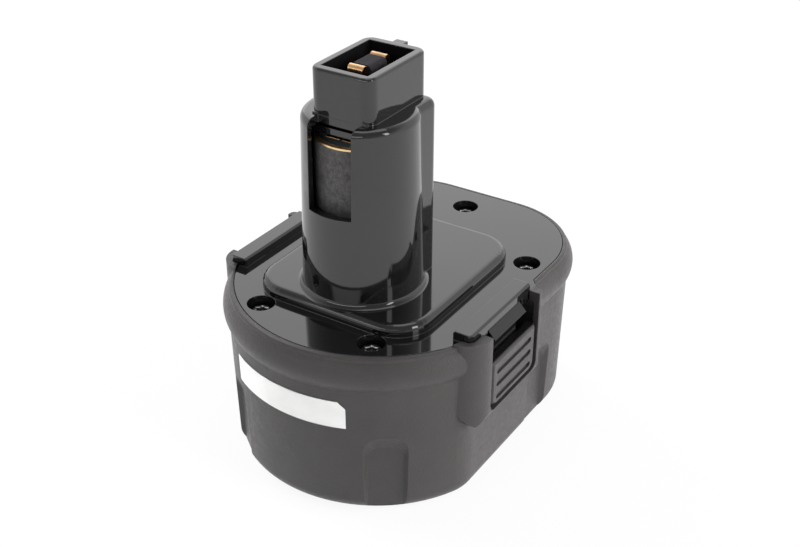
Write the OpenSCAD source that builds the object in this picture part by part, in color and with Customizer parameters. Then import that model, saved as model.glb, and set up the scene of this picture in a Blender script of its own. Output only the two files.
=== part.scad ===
// Stem type rechargeable battery pack for a cordless power tool.
// Sizes are in millimetres, Z is up and the pack stands on z = 0.
// Every piece is drawn about the axis of the stem, then moved so that the plan is centred.

/* [Cells] */
// Diameter of one cell with its wrap
cell_d = 22; // [20:0.1:23]
// Height of one cell over its cap
cell_h = 41.6; // [38:0.1:44]
// Gap left between neighbouring cells
cell_gap = 0.4; // [0.2:0.1:1]
// Place of the foremost cell along the length
cell_front_y = -11.8; // [-13:0.1:-10]
// Diameter of the cap on a cell
cap_d = 9; // [7:0.5:12]
// Height of the cap on a cell
cap_h = 0.9; // [0.6:0.1:1.5]
// Thickness of the nickel links
link_t = 0.2; // [0.15:0.05:0.3]
// Width of the nickel links
link_w = 6.5; // [5:0.5:8]
// Thickness of the insulating cards
card_t = 0.45; // [0.3:0.05:0.6]
// Width of the strip to the negative contact
lead_w = 2.4; // [1.5:0.1:2.6]
// Thickness of the foam seat under the stem cell
seat_h = 4.9; // [2:0.1:8]
// Place of the strip that rises to the stem cell, behind the stem axis
riser_y = 4; // [3:0.1:6]

/* [Clearances] */
// Gap between pieces that lie on each other
touch = 0.03; // [0.02:0.01:0.05]
// Gap round pieces that plug into each other
fit = 0.15; // [0.1:0.05:0.25]
// Gap between the cells and the walls beside them
cell_room = 0.3; // [0.2:0.05:0.6]
// Gap at the stops of the latches
stop_gap = 0.3; // [0.25:0.05:0.4]
// Gap round the catches in the lid
catch_gap = 0.4; // [0.3:0.05:0.6]
// Height of the space over the stem cell
cap_room = 1.9; // [1.7:0.1:2.5]

/* [Lower case] */
// Wall thickness of the case
wall = 2.6; // [2.2:0.1:3]
// Thickness of the case floor
floor_t = 1.8; // [1.5:0.1:2.5]
// Radius of the round end of the wall
front_r = 39.2; // [38.5:0.1:41]
// Centre of the round end, behind the stem axis
front_y = 6.45; // [5.5:0.05:7.5]
// Back of the wall, behind the stem axis
back_y = 64.4; // [63:0.1:68]
// Corner radius at the square end
corner_r = 25.4; // [24:0.1:26]
// Radius that blends the round end into the sides
blend_r = 14; // [12:0.5:18]
// How far the wall leans in over its height
draft = 0.7; // [0.3:0.1:1.2]
// Rounding under the wall
bottom_r = 4; // [3:0.25:5]
// How far the rolled bead stands out of the wall
bead_out = 1.4; // [1:0.05:2.5]
// Radius of the bead
bead_r = 6; // [4:0.25:7]
// Crest of the bead below the lid top
bead_drop = 5.2; // [4.5:0.1:6.5]
// Opening width of the scooped recesses low on the wall
scoop_w = 12.2; // [9:0.1:13]
// Height of the scooped recesses
scoop_h = 23.7; // [18:0.1:25]
// Depth of the scooped recesses
scoop_in = 1.7; // [1:0.1:2]
// Width of the slope round the recesses
scoop_side = 1.6; // [0.8:0.1:2]
// Height of the slope over the recesses
scoop_top = 4; // [2:0.1:5]
// Corner radius of the recesses
scoop_r = 3.8; // [2:0.1:4.2]
// Angle of the front recesses away from the round end
scoop_a = 36.4; // [30:0.1:40]
// Place of the side recesses along the length
scoop_y = 31; // [30.8:0.1:34]

/* [Lid] */
// Thickness of the lid
lid_t = 2.2; // [1.8:0.1:3]
// Gap of the seam round the lid
seam = 0.2; // [0.1:0.05:0.4]
// Width of the rim that shows outside the lid at the sides and the back
rim_w = 1.6; // [1.3:0.1:2]
// Height of the guide rails
rail_h = 2.5; // [2:0.1:3.5]
// Width of the guide rails
rail_w = 5.2; // [4.5:0.1:6]
// Front end of the guide rails
rail_y0 = -8.5; // [-9:0.1:-7.5]
// Back end of the guide rails
rail_y1 = 21.4; // [20:0.1:23]
// Back end of the lid beside the latches
ear_y = 24.6; // [23.8:0.1:26]
// Width of the raised plinth
plinth_w = 50; // [46:0.5:54]
// Front edge of the plinth
plinth_y0 = -17; // [-18.5:0.1:-16]
// Back edge of the plinth
plinth_y1 = 38.6; // [36:0.1:40]
// Height of the plinth
plinth_h = 3.1; // [2.5:0.1:4]
// Corner radius of the plinth
plinth_r = 10.5; // [6:0.5:12]
// Rounding of the top edge of the plinth
plinth_e = 2; // [1:0.1:2.4]

/* [Stem] */
// Diameter of the stem at the lid
stem_d = 31.2; // [30.6:0.1:33]
// Angle by which the stem narrows upwards
stem_taper = 1.3; // [0.8:0.1:1.5]
// Height of the stem above the lid
stem_h = 50; // [48:0.1:54]
// Wall thickness of the stem
stem_wall = 2; // [1.6:0.1:2.4]
// Rounding of the stem shoulder
shoulder_r = 2; // [1:0.1:2.5]
// Fillet where the stem meets the plinth
foot_r = 1.7; // [1:0.1:3]
// Width of the square spine behind the stem
spine_w = 24; // [22:0.1:25]
// Back of the spine, behind the stem axis
spine_y = 16.4; // [16.2:0.1:18]
// Width of the window in the stem
slot_w = 12.4; // [10:0.1:14]
// Sill of the window above the lid
slot_z = 27; // [24:0.1:30]

/* [Terminal tower] */
// Outer width of the tower
tower_w = 17.7; // [17:0.1:19]
// Height of the tower above the lid
tower_h = 61.5; // [58:0.1:66]
// Inner width of the tower
socket_w = 13.3; // [12:0.1:14]
// Front of the tower
tower_y0 = -8.7; // [-9:0.05:-8.4]
// Thickness of the front and back walls of the tower
tower_t = 2.2; // [1.8:0.1:2.6]
// Outer corner radius of the tower
tower_r = 3; // [2:0.1:4]
// Width of the key rib behind the tower
key_w = 3.2; // [2.5:0.1:5]
// Depth of the key rib behind the tower
key_d = 2; // [1.5:0.1:3]
// Width of the spring contacts
contact_w = 4.3; // [4:0.1:5.5]
// Thickness of the contact strip
contact_t = 0.5; // [0.4:0.05:0.7]
// Thickness of a contact over both legs
contact_d = 2.4; // [2:0.1:2.8]
// Distance between the contacts
contact_pitch = 9.3; // [8.8:0.1:10]
// Width of the fibre pad between the contacts
pad_w = 6.2; // [5:0.1:7]
// Reach of the stem tab from the axis towards the window
tab_reach = 8.4; // [7.5:0.1:10]

/* [Latches] */
// Room for a latch between the cells and the wall face
latch_room = 6; // [5.8:0.1:7]
// Travel of a release button
latch_travel = 2.2; // [1.5:0.1:2.3]
// How far the latch bosses stand out of the wall
boss_out = 3.6; // [2.6:0.1:4.5]
// Front of the latch bosses
boss_y0 = -11.2; // [-12:0.1:-10]
// Back of the latch bosses
boss_y1 = 23.3; // [22.8:0.1:24]
// Bottom of the latch bosses below the lid top
boss_drop = 24.8; // [24.6:0.1:27]
// Rounding of the lower corners of a latch boss
boss_low_r = 6; // [3:0.5:7]
// Rounding under a latch boss
boss_under = 4; // [3:0.5:4.5]
// How far the latch bosses rise over the lid
boss_up = 0.6; // [0:0.1:0.9]
// Wall thickness of the latch bosses
boss_wall = 1.6; // [1.4:0.1:2]
// Radius of the front corner of the latch bosses
boss_r = 7; // [5:0.1:7.5]
// Front edge of the buttons
button_y0 = -2.4; // [-3:0.1:0]
// Back edge of the buttons
button_y1 = 19.8; // [18:0.1:20.2]
// Top of the buttons below the lid top
button_top = 8; // [7:0.1:9]
// Bottom of the buttons below the lid top
button_low = 21.2; // [20:0.1:21.6]
// Gap round the buttons
button_gap = 1.1; // [0.5:0.05:1.4]
// Distance between the grip grooves
groove_pitch = 3.8; // [3:0.1:4.2]
// Height of the grip grooves
groove_h = 1.6; // [1:0.1:2]
// Depth of the grip grooves
groove_d = 0.8; // [0.4:0.1:1]
// Front end of the catch
catch_y0 = 0.2; // [-1:0.1:2]
// Back end of the catch
catch_y1 = 16.4; // [14:0.1:18]
// Wire thickness of the return springs
wire_d = 0.45; // [0.3:0.05:0.5]
// Mean diameter of the return springs
spring_d = 3.5; // [3.2:0.1:3.6]
// Turns of the return springs
spring_turns = 5; // [3:0.5:5]

/* [Screws] */
// Diameter of the screw wells in the lid
well_d = 7.3; // [6.8:0.1:7.6]
// Depth of the screw wells below the lid top
well_h = 4; // [3.4:0.1:7]
// Wall thickness of the screw wells
well_t = 0.55; // [0.45:0.05:0.7]
// Diameter of a screw head
head_d = 6.2; // [5.5:0.1:6.6]
// Diameter of a screw shank
shank_d = 2.9; // [2.5:0.1:3.2]
// Length of a screw under the head
shank_l = 12; // [8:0.5:16]
// Sideways place of the front screws
screw_x1 = 16.8; // [16:0.1:17.5]
// Sideways shift of the front pair and the back screw
screw_dx = -0.7; // [-0.7:0.1:0.7]
// Place of the front screws along the length
screw_y1 = -20.4; // [-21.5:0.1:-20]
// Sideways place of the side screws
screw_x2 = 29.6; // [29.3:0.1:30.5]
// Place of the side screws along the length
screw_y2 = 34; // [33.6:0.1:34.4]
// Place of the back screw along the length
screw_y3 = 53.5; // [52:0.1:55]

/* [Label] */
// Height of the blank label
label_h = 7.8; // [6:0.1:10]
// Top of the label below the lid top
label_drop = 12.6; // [12:0.1:14]
// Angle the label covers round the front
label_a = 53; // [40:1:60]
// Angle of the cut end of the label
label_end = -68; // [-75:1:-60]
// Size of the cut corner of the label
label_cut = 2; // [1:0.1:3]

/* [Hidden] */
$fn = 48;
pitch = cell_d + cell_gap;
side_x = pitch * sin(60);
base_h = floor_t + 2 * card_t + 2 * link_t + cell_h + 0.1 + lid_t;
lid_z = base_h - lid_t;
cell_z = floor_t + card_t + link_t;
half_w = side_x + cell_d / 2 + cell_room + latch_room;
blend_y = front_y - sqrt(pow(front_r - blend_r, 2) - pow(half_w - blend_r, 2));
blend_a = asin((front_y - blend_y) / (front_r - blend_r));
shift_y = -(front_y - front_r + back_y) / 2;
inner = wall + draft;
lid_r = front_r - 1;
lid_y = front_y + 1.35;
lid_w = half_w - rim_w;
lid_back = back_y - rim_w - 0.2;
lid_corner = corner_r - rim_w + 0.4;
edge_x = half_w + 0.4;
part_t = wall * 0.46;
pocket_x = side_x + cell_d / 2 + cell_room + part_t;
pocket_y0 = button_y0 - button_gap - 2;
pocket_y1 = button_y1 + button_gap + 2;
pocket_z = base_h - button_low - button_gap - 2;
boss_x = half_w + boss_out;
skin_x = boss_x - boss_wall;
face_x = boss_x - 0.2;
plate_t = 1.5;
plate_x = skin_x - stop_gap - plate_t;
arm_x = pocket_x + latch_travel + catch_gap;
spring_y = cell_front_y + pitch;
spring_z = base_h - (button_top + button_low) / 2;
cup_x = pocket_x - 2.8;
spring_l = plate_x - cup_x;
shoulder_z = base_h + stem_h;
sink = 0.04;
stem_top_r = stem_d / 2 - (stem_h - shoulder_r) * tan(stem_taper);
bore_r = stem_top_r - 0.7 * stem_wall;
tower_y1 = spine_y;
socket_y0 = tower_y0 + tower_t;
socket_y1 = tower_y1 - tower_t - 0.3;
socket_y = (socket_y0 + socket_y1) / 2;
tower_z = base_h + tower_h;
block_z = shoulder_z - stem_wall - 0.8;
plug_z = shoulder_z + 0.6;
block_t = 1.7;
can_top = block_z - block_t - cap_room;
stem_z = lid_z - 0.1 + 2 * touch + seat_h + link_t + 2 * touch;
stem_cell_h = can_top - stem_z + cap_h;
well_z = base_h - well_h;
post_z = well_z - 1.2;
post_d = shank_d + 4.4;
C = [[-side_x, cell_front_y + pitch / 2], [0, cell_front_y], [side_x, cell_front_y + pitch / 2],
     [-side_x, cell_front_y + 1.5 * pitch], [0, cell_front_y + pitch], [side_x, cell_front_y + 1.5 * pitch],
     [-pitch * cos(35), cell_front_y + 2 * pitch + pitch * sin(35)], [0, cell_front_y + 2 * pitch],
     [pitch * cos(35), cell_front_y + 2 * pitch + pitch * sin(35)]];
CAP_UP = [1, 0, 1, 0, 1, 0, 1, 0, 1];
S = [[screw_dx - screw_x1, screw_y1], [screw_dx + screw_x1, screw_y1], [-screw_x2, screw_y2], [screw_x2, screw_y2],
     [screw_dx, screw_y3]];
LEAD = (C[3] + C[4] + C[7]) / 3;
TOP_LINKS = [[6, 3], [0, 1], [2, 5], [8, 7]];
LOW_LINKS = [[3, 0], [1, 2], [5, 8], [7, 4]];

// Moves a piece from the stem axis to the centred frame.
module place() {
    translate([0, shift_y, 0])
        children();
}

// Repeats a piece on both sides.
module both() {
    children();
    mirror([1, 0, 0])
        children();
}

// Plan area with one round end and one square end.
module d_area(r, yc, w, back, cr) {
    intersection() {
        union() {
            translate([0, yc])
                circle(r = r, $fn = 128);
            translate([-w, yc])
                square([2 * w, back - cr - yc]);
            translate([-(w - cr), yc])
                square([2 * (w - cr), back - yc]);
            for (s = [-1, 1])
                translate([s * (w - cr), back - cr])
                    circle(r = cr, $fn = 96);
        }
        translate([-w, yc - r - 1])
            square([2 * w, back - yc + r + 2]);
    }
}

// Carries a profile round the plan of the wall. Its first axis points outwards.
module wall_sweep() {
    translate([0, front_y, 0])
        rotate([0, 0, -180 + blend_a])
            rotate_extrude(angle = 180 - 2 * blend_a, $fn = 128)
                translate([front_r, 0])
                    children();
    both() {
        translate([half_w - blend_r, blend_y, 0])
            rotate([0, 0, -blend_a])
                rotate_extrude(angle = blend_a, $fn = 96)
                    translate([blend_r, 0])
                        children();
        translate([half_w, back_y - corner_r, 0])
            rotate([90, 0, 0])
                linear_extrude(back_y - corner_r - blend_y)
                    children();
        translate([half_w - corner_r, back_y - corner_r, 0])
            rotate_extrude(angle = 90, $fn = 96)
                translate([corner_r, 0])
                    children();
    }
    translate([-(half_w - corner_r), back_y, 0])
        rotate([90, 0, 90])
            linear_extrude(2 * (half_w - corner_r))
                children();
}

// Section of the case wall with its bead, rim and rounded foot.
module wall_profile() {
    polygon([[-inner, bottom_r], [-draft, bottom_r], [0, base_h - bead_drop - bead_r],
        [0, base_h - bead_drop], [-0.45, base_h - 0.4], [-0.9, base_h], [-inner, base_h]]);
    intersection() {
        translate([bead_out - bead_r, base_h - bead_drop])
            circle(r = bead_r, $fn = 64);
        translate([-1, base_h - 2 * bead_drop])
            square([bead_out + 2, 2 * bead_drop]);
    }
    intersection() {
        translate([-draft - bottom_r, bottom_r])
            circle(r = bottom_r, $fn = 48);
        translate([-inner, 0])
            square([wall, bottom_r]);
    }
    intersection() {
        union() {
            translate([-draft - bottom_r, bottom_r])
                circle(r = bottom_r, $fn = 48);
            translate([-draft - bottom_r - 6, 0])
                square([6, bottom_r]);
        }
        translate([-draft - bottom_r - 6, 0])
            square([bottom_r + draft + 6 - inner + 0.5, floor_t]);
    }
}

// Outline with rounded upper corners, standing on its base line.
module arch(w, h, r) {
    translate([-w / 2, -1])
        square([w, h - r + 1]);
    translate([-w / 2 + r, -1])
        square([w - 2 * r, h + 1]);
    for (x = [r - w / 2, w / 2 - r])
        translate([x, h - r])
            circle(r = r, $fn = 32);
}

// Scooped recess with its mouth towards +X at x = 0 and a slope round its face.
module scoop() {
    k = 2 / scoop_in;
    hull() {
        translate([-scoop_in, 0, 0])
            rotate([90, 0, 90])
                linear_extrude(0.1)
                    arch(scoop_w - 2 * scoop_side, scoop_h - scoop_top, scoop_r * 0.8);
        translate([2, 0, 0])
            rotate([90, 0, 90])
                linear_extrude(0.1)
                    arch(scoop_w + 2 * k * scoop_side, scoop_h + k * scoop_top, scoop_r * (1 + 0.2 * k));
    }
}

// Puts a piece at the four recesses.
module at_scoops() {
    both() {
        translate([0, front_y, 0])
            rotate([0, 0, -90 + scoop_a])
                translate([front_r - draft / 2, 0, 0])
                    children();
        translate([half_w - draft / 2, scoop_y, 0])
            children();
    }
}

// Plate with the plan of the lid, wider beside the rails and grown by g.
module lid_plate(g, h) {
    linear_extrude(h)
        d_area(lid_r + g, lid_y, lid_w + g, lid_back + g, lid_corner + g);
    both()
        linear_extrude(h)
            polygon([[lid_w - 3, rail_y0 - g], [edge_x - 0.9 + g, rail_y0 - g], [edge_x + g, rail_y0 + 1.2],
                [edge_x + g, ear_y + g], [lid_w - 0.1, ear_y + 2.6 + g], [lid_w - 3, ear_y + 2.6 + g]]);
}

// Outer face of a latch boss seen from the side, with rounded lower corners.
module boss_face() {
    r = boss_low_r;
    z0 = base_h - boss_drop;
    translate([boss_y0, z0 + r])
        square([boss_y1 - boss_y0, boss_drop + boss_up - r]);
    translate([boss_y0 + r, z0])
        square([boss_y1 - boss_y0 - 2 * r, r + 1]);
    for (y = [boss_y0 + r, boss_y1 - r])
        translate([y, z0 + r])
            circle(r = r, $fn = 48);
}

// Plan of a latch boss with its wide front corner and its tight back corner.
module boss_plan() {
    x0 = half_w - 6;
    translate([x0, boss_y0])
        square([boss_x - x0 - boss_r, boss_y1 - boss_y0]);
    translate([x0, boss_y0 + boss_r])
        square([boss_x - x0, boss_y1 - boss_y0 - boss_r - 1.5]);
    translate([boss_x - boss_r, boss_y0 + boss_r])
        circle(r = boss_r, $fn = 64);
    translate([x0, boss_y1 - 2])
        square([boss_x - x0 - 1.5, 2]);
    translate([boss_x - 1.5, boss_y1 - 1.5])
        circle(r = 1.5, $fn = 24);
}

// Right latch boss, rounded back to the wall underneath and open behind.
module latch_boss() {
    z0 = base_h - boss_drop;
    difference() {
        intersection() {
            translate([half_w - 6, 0, 0])
                rotate([90, 0, 90])
                    linear_extrude(boss_out + 6)
                        boss_face();
            linear_extrude(base_h + boss_up + 1)
                boss_plan();
        }
        translate([0, boss_y1 + 1, 0])
            rotate([90, 0, 0])
                linear_extrude(boss_y1 - boss_y0 + 2)
                    difference() {
                        translate([boss_x - boss_under, z0 - 1])
                            square([boss_under + 1, boss_under + 1 - sink]);
                        translate([boss_x - boss_under + sink, z0 + boss_under - sink])
                            circle(r = boss_under, $fn = 64);
                    }
        wall_inside();
    }
}

// Space inside the wall, used to trim what is added outside it.
module wall_inside() {
    linear_extrude(base_h + 2)
        d_area(front_r - inner + 0.6, front_y, half_w - inner + 0.6, back_y - inner, corner_r - inner);
}

// Outline of a release button grown by g, seen from the side.
module button_outline(g, top) {
    r = 2.4 + g / 2;
    y0 = button_y0 - g;
    y1 = button_y1 + g;
    z0 = base_h - button_low - g;
    translate([y0, z0 + r])
        square([y1 - y0, top - z0 - r]);
    translate([y0 + r, z0])
        square([y1 - y0 - 2 * r, r + 1]);
    for (y = [y0 + r, y1 - r])
        translate([y, z0 + r])
            circle(r = r, $fn = 32);
}

// Walls of the pocket that holds a latch, with the cup for its spring.
module latch_pocket() {
    translate([pocket_x - part_t, pocket_y0 - part_t, pocket_z - part_t])
        cube([half_w - pocket_x, pocket_y1 - pocket_y0 + 2 * part_t, lid_z - pocket_z + part_t - fit]);
    translate([cup_x - 0.8, spring_y, spring_z])
        rotate([0, 90, 0])
            cylinder(d = spring_d + wire_d + 2, h = 3);
}

// Space inside a latch pocket, its window and its spring cup.
module latch_space() {
    translate([pocket_x, pocket_y0, pocket_z])
        cube([half_w - 0.4 - pocket_x, pocket_y1 - pocket_y0, base_h]);
    translate([half_w - 1, pocket_y0, pocket_z + 1])
        cube([skin_x - half_w + 1, pocket_y1 - pocket_y0, lid_z - fit - pocket_z - 1]);
    translate([half_w - 1, 0, 0])
        rotate([90, 0, 90])
            linear_extrude(boss_out + 6)
                button_outline(button_gap, base_h + 5);
    translate([cup_x, spring_y, spring_z])
        rotate([0, 90, 0])
            cylinder(d = spring_d + wire_d + 0.6, h = 6);
}

// Tub that holds the cells, latches and screw posts.
module lower_case() {
    color([0.2, 0.195, 0.19])
        place()
            difference() {
                union() {
                    difference() {
                        wall_sweep()
                            wall_profile();
                        translate([0, 0, lid_z])
                            lid_plate(seam, lid_t + 1);
                    }
                    difference() {
                        both()
                            latch_boss();
                        translate([0, 0, lid_z])
                            lid_plate(seam, lid_t + 1);
                    }
                    linear_extrude(floor_t)
                        d_area(front_r - bottom_r - 4, front_y, half_w - bottom_r - 4, back_y - bottom_r - 4,
                            corner_r - bottom_r - 4);
                    both()
                        latch_pocket();
                    at_scoops()
                        translate([-scoop_in - 2.6, -scoop_w / 2 - 1, bottom_r])
                            cube([2.4, scoop_w + 2, scoop_h + floor_t / 2 - bottom_r]);
                    for (p = S)
                        translate([p[0], p[1], floor_t / 2])
                            cylinder(d = post_d, h = post_z - floor_t / 2 - touch);
                    both() {
                        translate([screw_x1, screw_y1, floor_t / 2])
                            rotate([0, 0, atan2(screw_y1 - front_y, screw_x1)])
                                translate([0, -0.8, 0])
                                    cube([front_r - inner + 1 - norm([screw_x1, screw_y1 - front_y]), 1.6, post_z - 4]);
                        translate([screw_x2, screw_y2 - 0.8, floor_t / 2])
                            cube([half_w - inner + 1 - screw_x2, 1.6, post_z - 4]);
                    }
                    translate([screw_dx - 0.8, screw_y3, cell_z + 1])
                        cube([1.6, back_y - inner + 1 - screw_y3, post_z - cell_z - 5]);
                }
                both()
                    latch_space();
                at_scoops()
                    scoop();
                for (p = S) {
                    translate([p[0], p[1], post_z - shank_l])
                        cylinder(d = shank_d + 0.1, h = shank_l + 1);
                    translate([p[0], p[1], post_z - touch / 2])
                        cylinder(d = well_d + 2 * well_t + 2 * fit, h = base_h);
                }
            }
}

// Disc with a rounded top edge, used for the plinth, spine and tower.
module round_top(r, h, e) {
    rotate_extrude($fn = 40) {
        square([r, h - e]);
        square([r - e, h]);
        intersection() {
            translate([r - e, h - e])
                circle(r = e, $fn = 24);
            square([r, h]);
        }
    }
}

// Four rounded columns joined into one block.
module round_block(x, y0, y1, z0, z1, r, e) {
    hull()
        for (sx = [-1, 1], y = [y0 + r, y1 - r])
            translate([sx * (x - r), y, z0])
                round_top(r, z1 - z0, e);
}

// Right guide rail with a broken front corner.
module rail() {
    z = base_h - 0.1;
    intersection() {
        translate([0, rail_y1, 0])
            rotate([90, 0, 0])
                linear_extrude(rail_y1 - rail_y0)
                    polygon([[edge_x - rail_w, z], [edge_x, z], [edge_x, base_h + rail_h - 0.5],
                        [edge_x - 0.5, base_h + rail_h], [edge_x - rail_w + 0.5, base_h + rail_h],
                        [edge_x - rail_w, base_h + rail_h - 0.5]]);
        linear_extrude(base_h + rail_h + 1)
            polygon([[edge_x - rail_w - 1, rail_y0 - 1], [edge_x - 0.9, rail_y0], [edge_x, rail_y0 + 1.2],
                [edge_x + 1, rail_y1 + 1], [edge_x - rail_w - 1, rail_y1 + 1]]);
    }
}

// Lid, rails, plinth, stem and terminal tower in one moulding.
module top_cover() {
    pz = base_h + plinth_h;
    foot_x = stem_d / 2 - (plinth_h + foot_r) * tan(stem_taper) + foot_r - sink;
    color([0.06, 0.06, 0.065])
        place()
            difference() {
                union() {
                    translate([0, 0, lid_z])
                        lid_plate(0, lid_t);
                    both()
                        rail();
                    round_block(plinth_w / 2, plinth_y0, plinth_y1, lid_z + 0.2, pz, plinth_r, plinth_e);
                    rotate_extrude($fn = 128) {
                        polygon([[0, lid_z + 0.2], [stem_d / 2, lid_z + 0.2], [stem_d / 2, base_h],
                            [stem_top_r, shoulder_z - shoulder_r], [stem_top_r - shoulder_r, shoulder_z], [0, shoulder_z]]);
                        translate([stem_top_r - shoulder_r, shoulder_z - shoulder_r])
                            circle(r = shoulder_r, $fn = 48);
                    }
                    translate([0, 0, pz - 0.2])
                        rotate_extrude($fn = 128)
                            difference() {
                                square([foot_x, foot_r + 0.2 - sink]);
                                translate([foot_x, foot_r + 0.2 - sink])
                                    circle(r = foot_r, $fn = 48);
                            }
                    round_block(spine_w / 2, 2, spine_y, lid_z + 0.2, shoulder_z, 3, shoulder_r);
                    round_block(tower_w / 2, tower_y0, tower_y1, shoulder_z - 3, tower_z, tower_r, 0.8);
                    translate([-tower_w / 2 + 1, tower_y0, shoulder_z - stem_wall - 0.6])
                        cube([tower_w - 2, tower_t, 3]);
                    translate([-key_w / 2, spine_y - 1, shoulder_z - 6])
                        cube([key_w, key_d + 1, tower_z - shoulder_z + 5.7]);
                    for (p = S)
                        translate([p[0], p[1], post_z])
                            cylinder(d = well_d + 2 * well_t, h = base_h - post_z - 0.5);
                }
                translate([0, 0, lid_z - 1])
                    cylinder(r = bore_r, h = shoulder_z - stem_wall - lid_z + 1, $fn = 96);
                translate([-spine_w / 2 + stem_wall, 0, lid_z - 1])
                    cube([spine_w - 2 * stem_wall, spine_y - stem_wall, shoulder_z - stem_wall - lid_z + 1]);
                translate([-plinth_w / 2 + 4, plinth_y0 + 4, lid_z - 1])
                    cube([plinth_w - 8, plinth_y1 - plinth_y0 - 8, plinth_h + 1]);
                translate([-socket_w / 2, socket_y0, shoulder_z - stem_wall - 2])
                    cube([socket_w, socket_y1 - socket_y0, tower_h]);
                translate([-slot_w / 2, -stem_d, base_h + slot_z])
                    cube([slot_w, stem_d + tower_y0 - 0.05, stem_h]);
                for (p = S) {
                    translate([p[0], p[1], well_z])
                        cylinder(d = well_d, h = well_h + 1);
                    translate([p[0], p[1], post_z - 1])
                        cylinder(d = shank_d + 0.5, h = 4);
                }
                both()
                    translate([arm_x - latch_travel - catch_gap, catch_y0 - 2 * catch_gap, lid_z - 1])
                        cube([edge_x, catch_y1 - catch_y0 + 4 * catch_gap, lid_t + 1]);
            }
}

// Insulating block that closes the tower and carries the contacts.
module terminal_block() {
    color([0.08, 0.08, 0.085])
        place()
            difference() {
                union() {
                    translate([-tower_w / 2 - 0.5, tower_y0 + 0.1, block_z - block_t])
                        cube([tower_w + 1, spine_y - stem_wall - 0.6 - tower_y0, block_t]);
                    translate([-socket_w / 2 + fit, socket_y0 + fit, block_z - 0.5])
                        cube([socket_w - 2 * fit, socket_y1 - socket_y0 - 2 * fit, plug_z - block_z + 0.5]);
                }
                for (s = [-1, 1])
                    translate([-contact_w / 2 - fit, contact_y(s) - s * (contact_d / 2) - contact_t / 2 - 0.2 + s * contact_t / 2,
                        block_z - 5])
                        cube([contact_w + 2 * fit, contact_t + 0.4, 20]);
            }
}

// Place of a contact along the length.
function contact_y(s) = socket_y - s * contact_pitch / 2;

// Contact strip folded over at the top, with one leg through the block.
module contact(s) {
    r = contact_d / 2;
    z1 = tower_z - 0.35 - r;
    color([0.85, 0.62, 0.36])
        place()
            translate([-contact_w / 2, contact_y(s), 0])
                scale([1, s, 1])
                    rotate([90, 0, 90])
                        linear_extrude(contact_w)
                            difference() {
                                union() {
                                    translate([0, z1])
                                        circle(r = r, $fn = 32);
                                    translate([-r, block_z - 2.2])
                                        square([contact_t, z1 - block_z + 2.2]);
                                    translate([r - contact_t, plug_z + 0.6])
                                        square([contact_t, z1 - plug_z - 0.6]);
                                }
                                translate([0, z1])
                                    circle(r = r - contact_t, $fn = 32);
                                translate([-r + contact_t, block_z - 5])
                                    square([contact_d - 2 * contact_t, z1 - block_z + 5]);
                            }
}

module positive_contact() {
    contact(1);
}

module negative_contact() {
    contact(-1);
}

// Fibre pad held between the contacts.
module fibre_spacer() {
    l = contact_pitch - contact_d - 0.2;
    color([0.25, 0.25, 0.25])
        place()
            translate([0, socket_y + l / 2, plug_z + touch + 1])
                rotate([90, 0, 0])
                    linear_extrude(l)
                        arch(pad_w, tower_z - plug_z - 1.6, pad_w / 4);
}

// One cell of the given height with a crimped shoulder and a cap, standing on z = 0.
module cell(height) {
    r = cell_d / 2;
    h = height - cap_h;
    color([0.35, 0.4, 0.42])
        rotate_extrude($fn = 64) {
            polygon([[0, 0], [r - 0.5, 0], [r, 0.5], [r, h - 5], [r - 0.8, h - 4.4], [r - 0.8, h - 3.8], [r, h - 3.2],
                [r, h - 0.5], [r - 0.5, h], [r - 1.4, h], [r - 1.6, h - 0.5], [cap_d / 2 + 1, h - 0.5],
                [cap_d / 2, h], [cap_d / 2, h + cap_h - 0.2], [cap_d / 2 - 0.2, h + cap_h], [0, h + cap_h]]);
        }
}

// Cell of the base block by its number.
module base_cell(n) {
    place()
        translate([C[n - 1][0], C[n - 1][1], cell_z + (CAP_UP[n - 1] == 1 ? 0 : cell_h)])
            rotate([CAP_UP[n - 1] == 1 ? 0 : 180, 0, 0])
                cell(cell_h);
}

// Cell that stands in the stem.
module stem_cell() {
    place()
        translate([0, 0, stem_z])
            cell(stem_cell_h);
}

// Fibre sleeve round the stem cell.
module stem_sleeve() {
    color([0.24, 0.23, 0.23])
        place()
            translate([0, 0, stem_z + 0.4])
                difference() {
                    cylinder(d = cell_d + 1.1, h = can_top - stem_z - 0.4, $fn = 96);
                    translate([0, 0, -1])
                        cylinder(d = cell_d + 2 * touch, h = stem_cell_h + 2, $fn = 96);
                }
}

// Pale ring that covers the edge of the stem cell.
module stem_ring() {
    color([0.9, 0.78, 0.55])
        place()
            translate([0, 0, can_top + touch])
                difference() {
                    cylinder(d = cell_d + 1.1, h = 0.5, $fn = 96);
                    translate([0, 0, -1])
                        cylinder(d = cell_d - 1.6, h = 3, $fn = 96);
                }
}

// Copper tab from the cap of the stem cell to the positive contact.
module stem_tab() {
    z = can_top + cap_h + touch;
    y = contact_y(1) - contact_d / 2;
    color([0.8, 0.5, 0.32])
        place()
            difference() {
                union() {
                    translate([-4.4, -tab_reach, z])
                        cube([8.8, tab_reach + 3.7, 0.3]);
                    translate([-2, y - 0.7, z])
                        cube([4, 0.4, block_z - block_t - touch - z]);
                }
                translate([-0.3, -tab_reach - 1, z - 1])
                    cube([0.6, 6, 3]);
            }
}

// Foam seat under the stem cell, slotted for the strip that rises behind it.
module stem_seat() {
    z = lid_z - 0.1 + 2 * touch;
    color([0.5, 0.48, 0.44])
        place()
            difference() {
                translate([0, 0, z])
                    cylinder(d = cell_d - 1, h = seat_h, $fn = 64);
                translate([-link_w / 2 - 2 * fit, riser_y - 4 * fit, z - 1])
                    cube([link_w + 4 * fit, cell_d, seat_h + 2]);
            }
}

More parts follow.
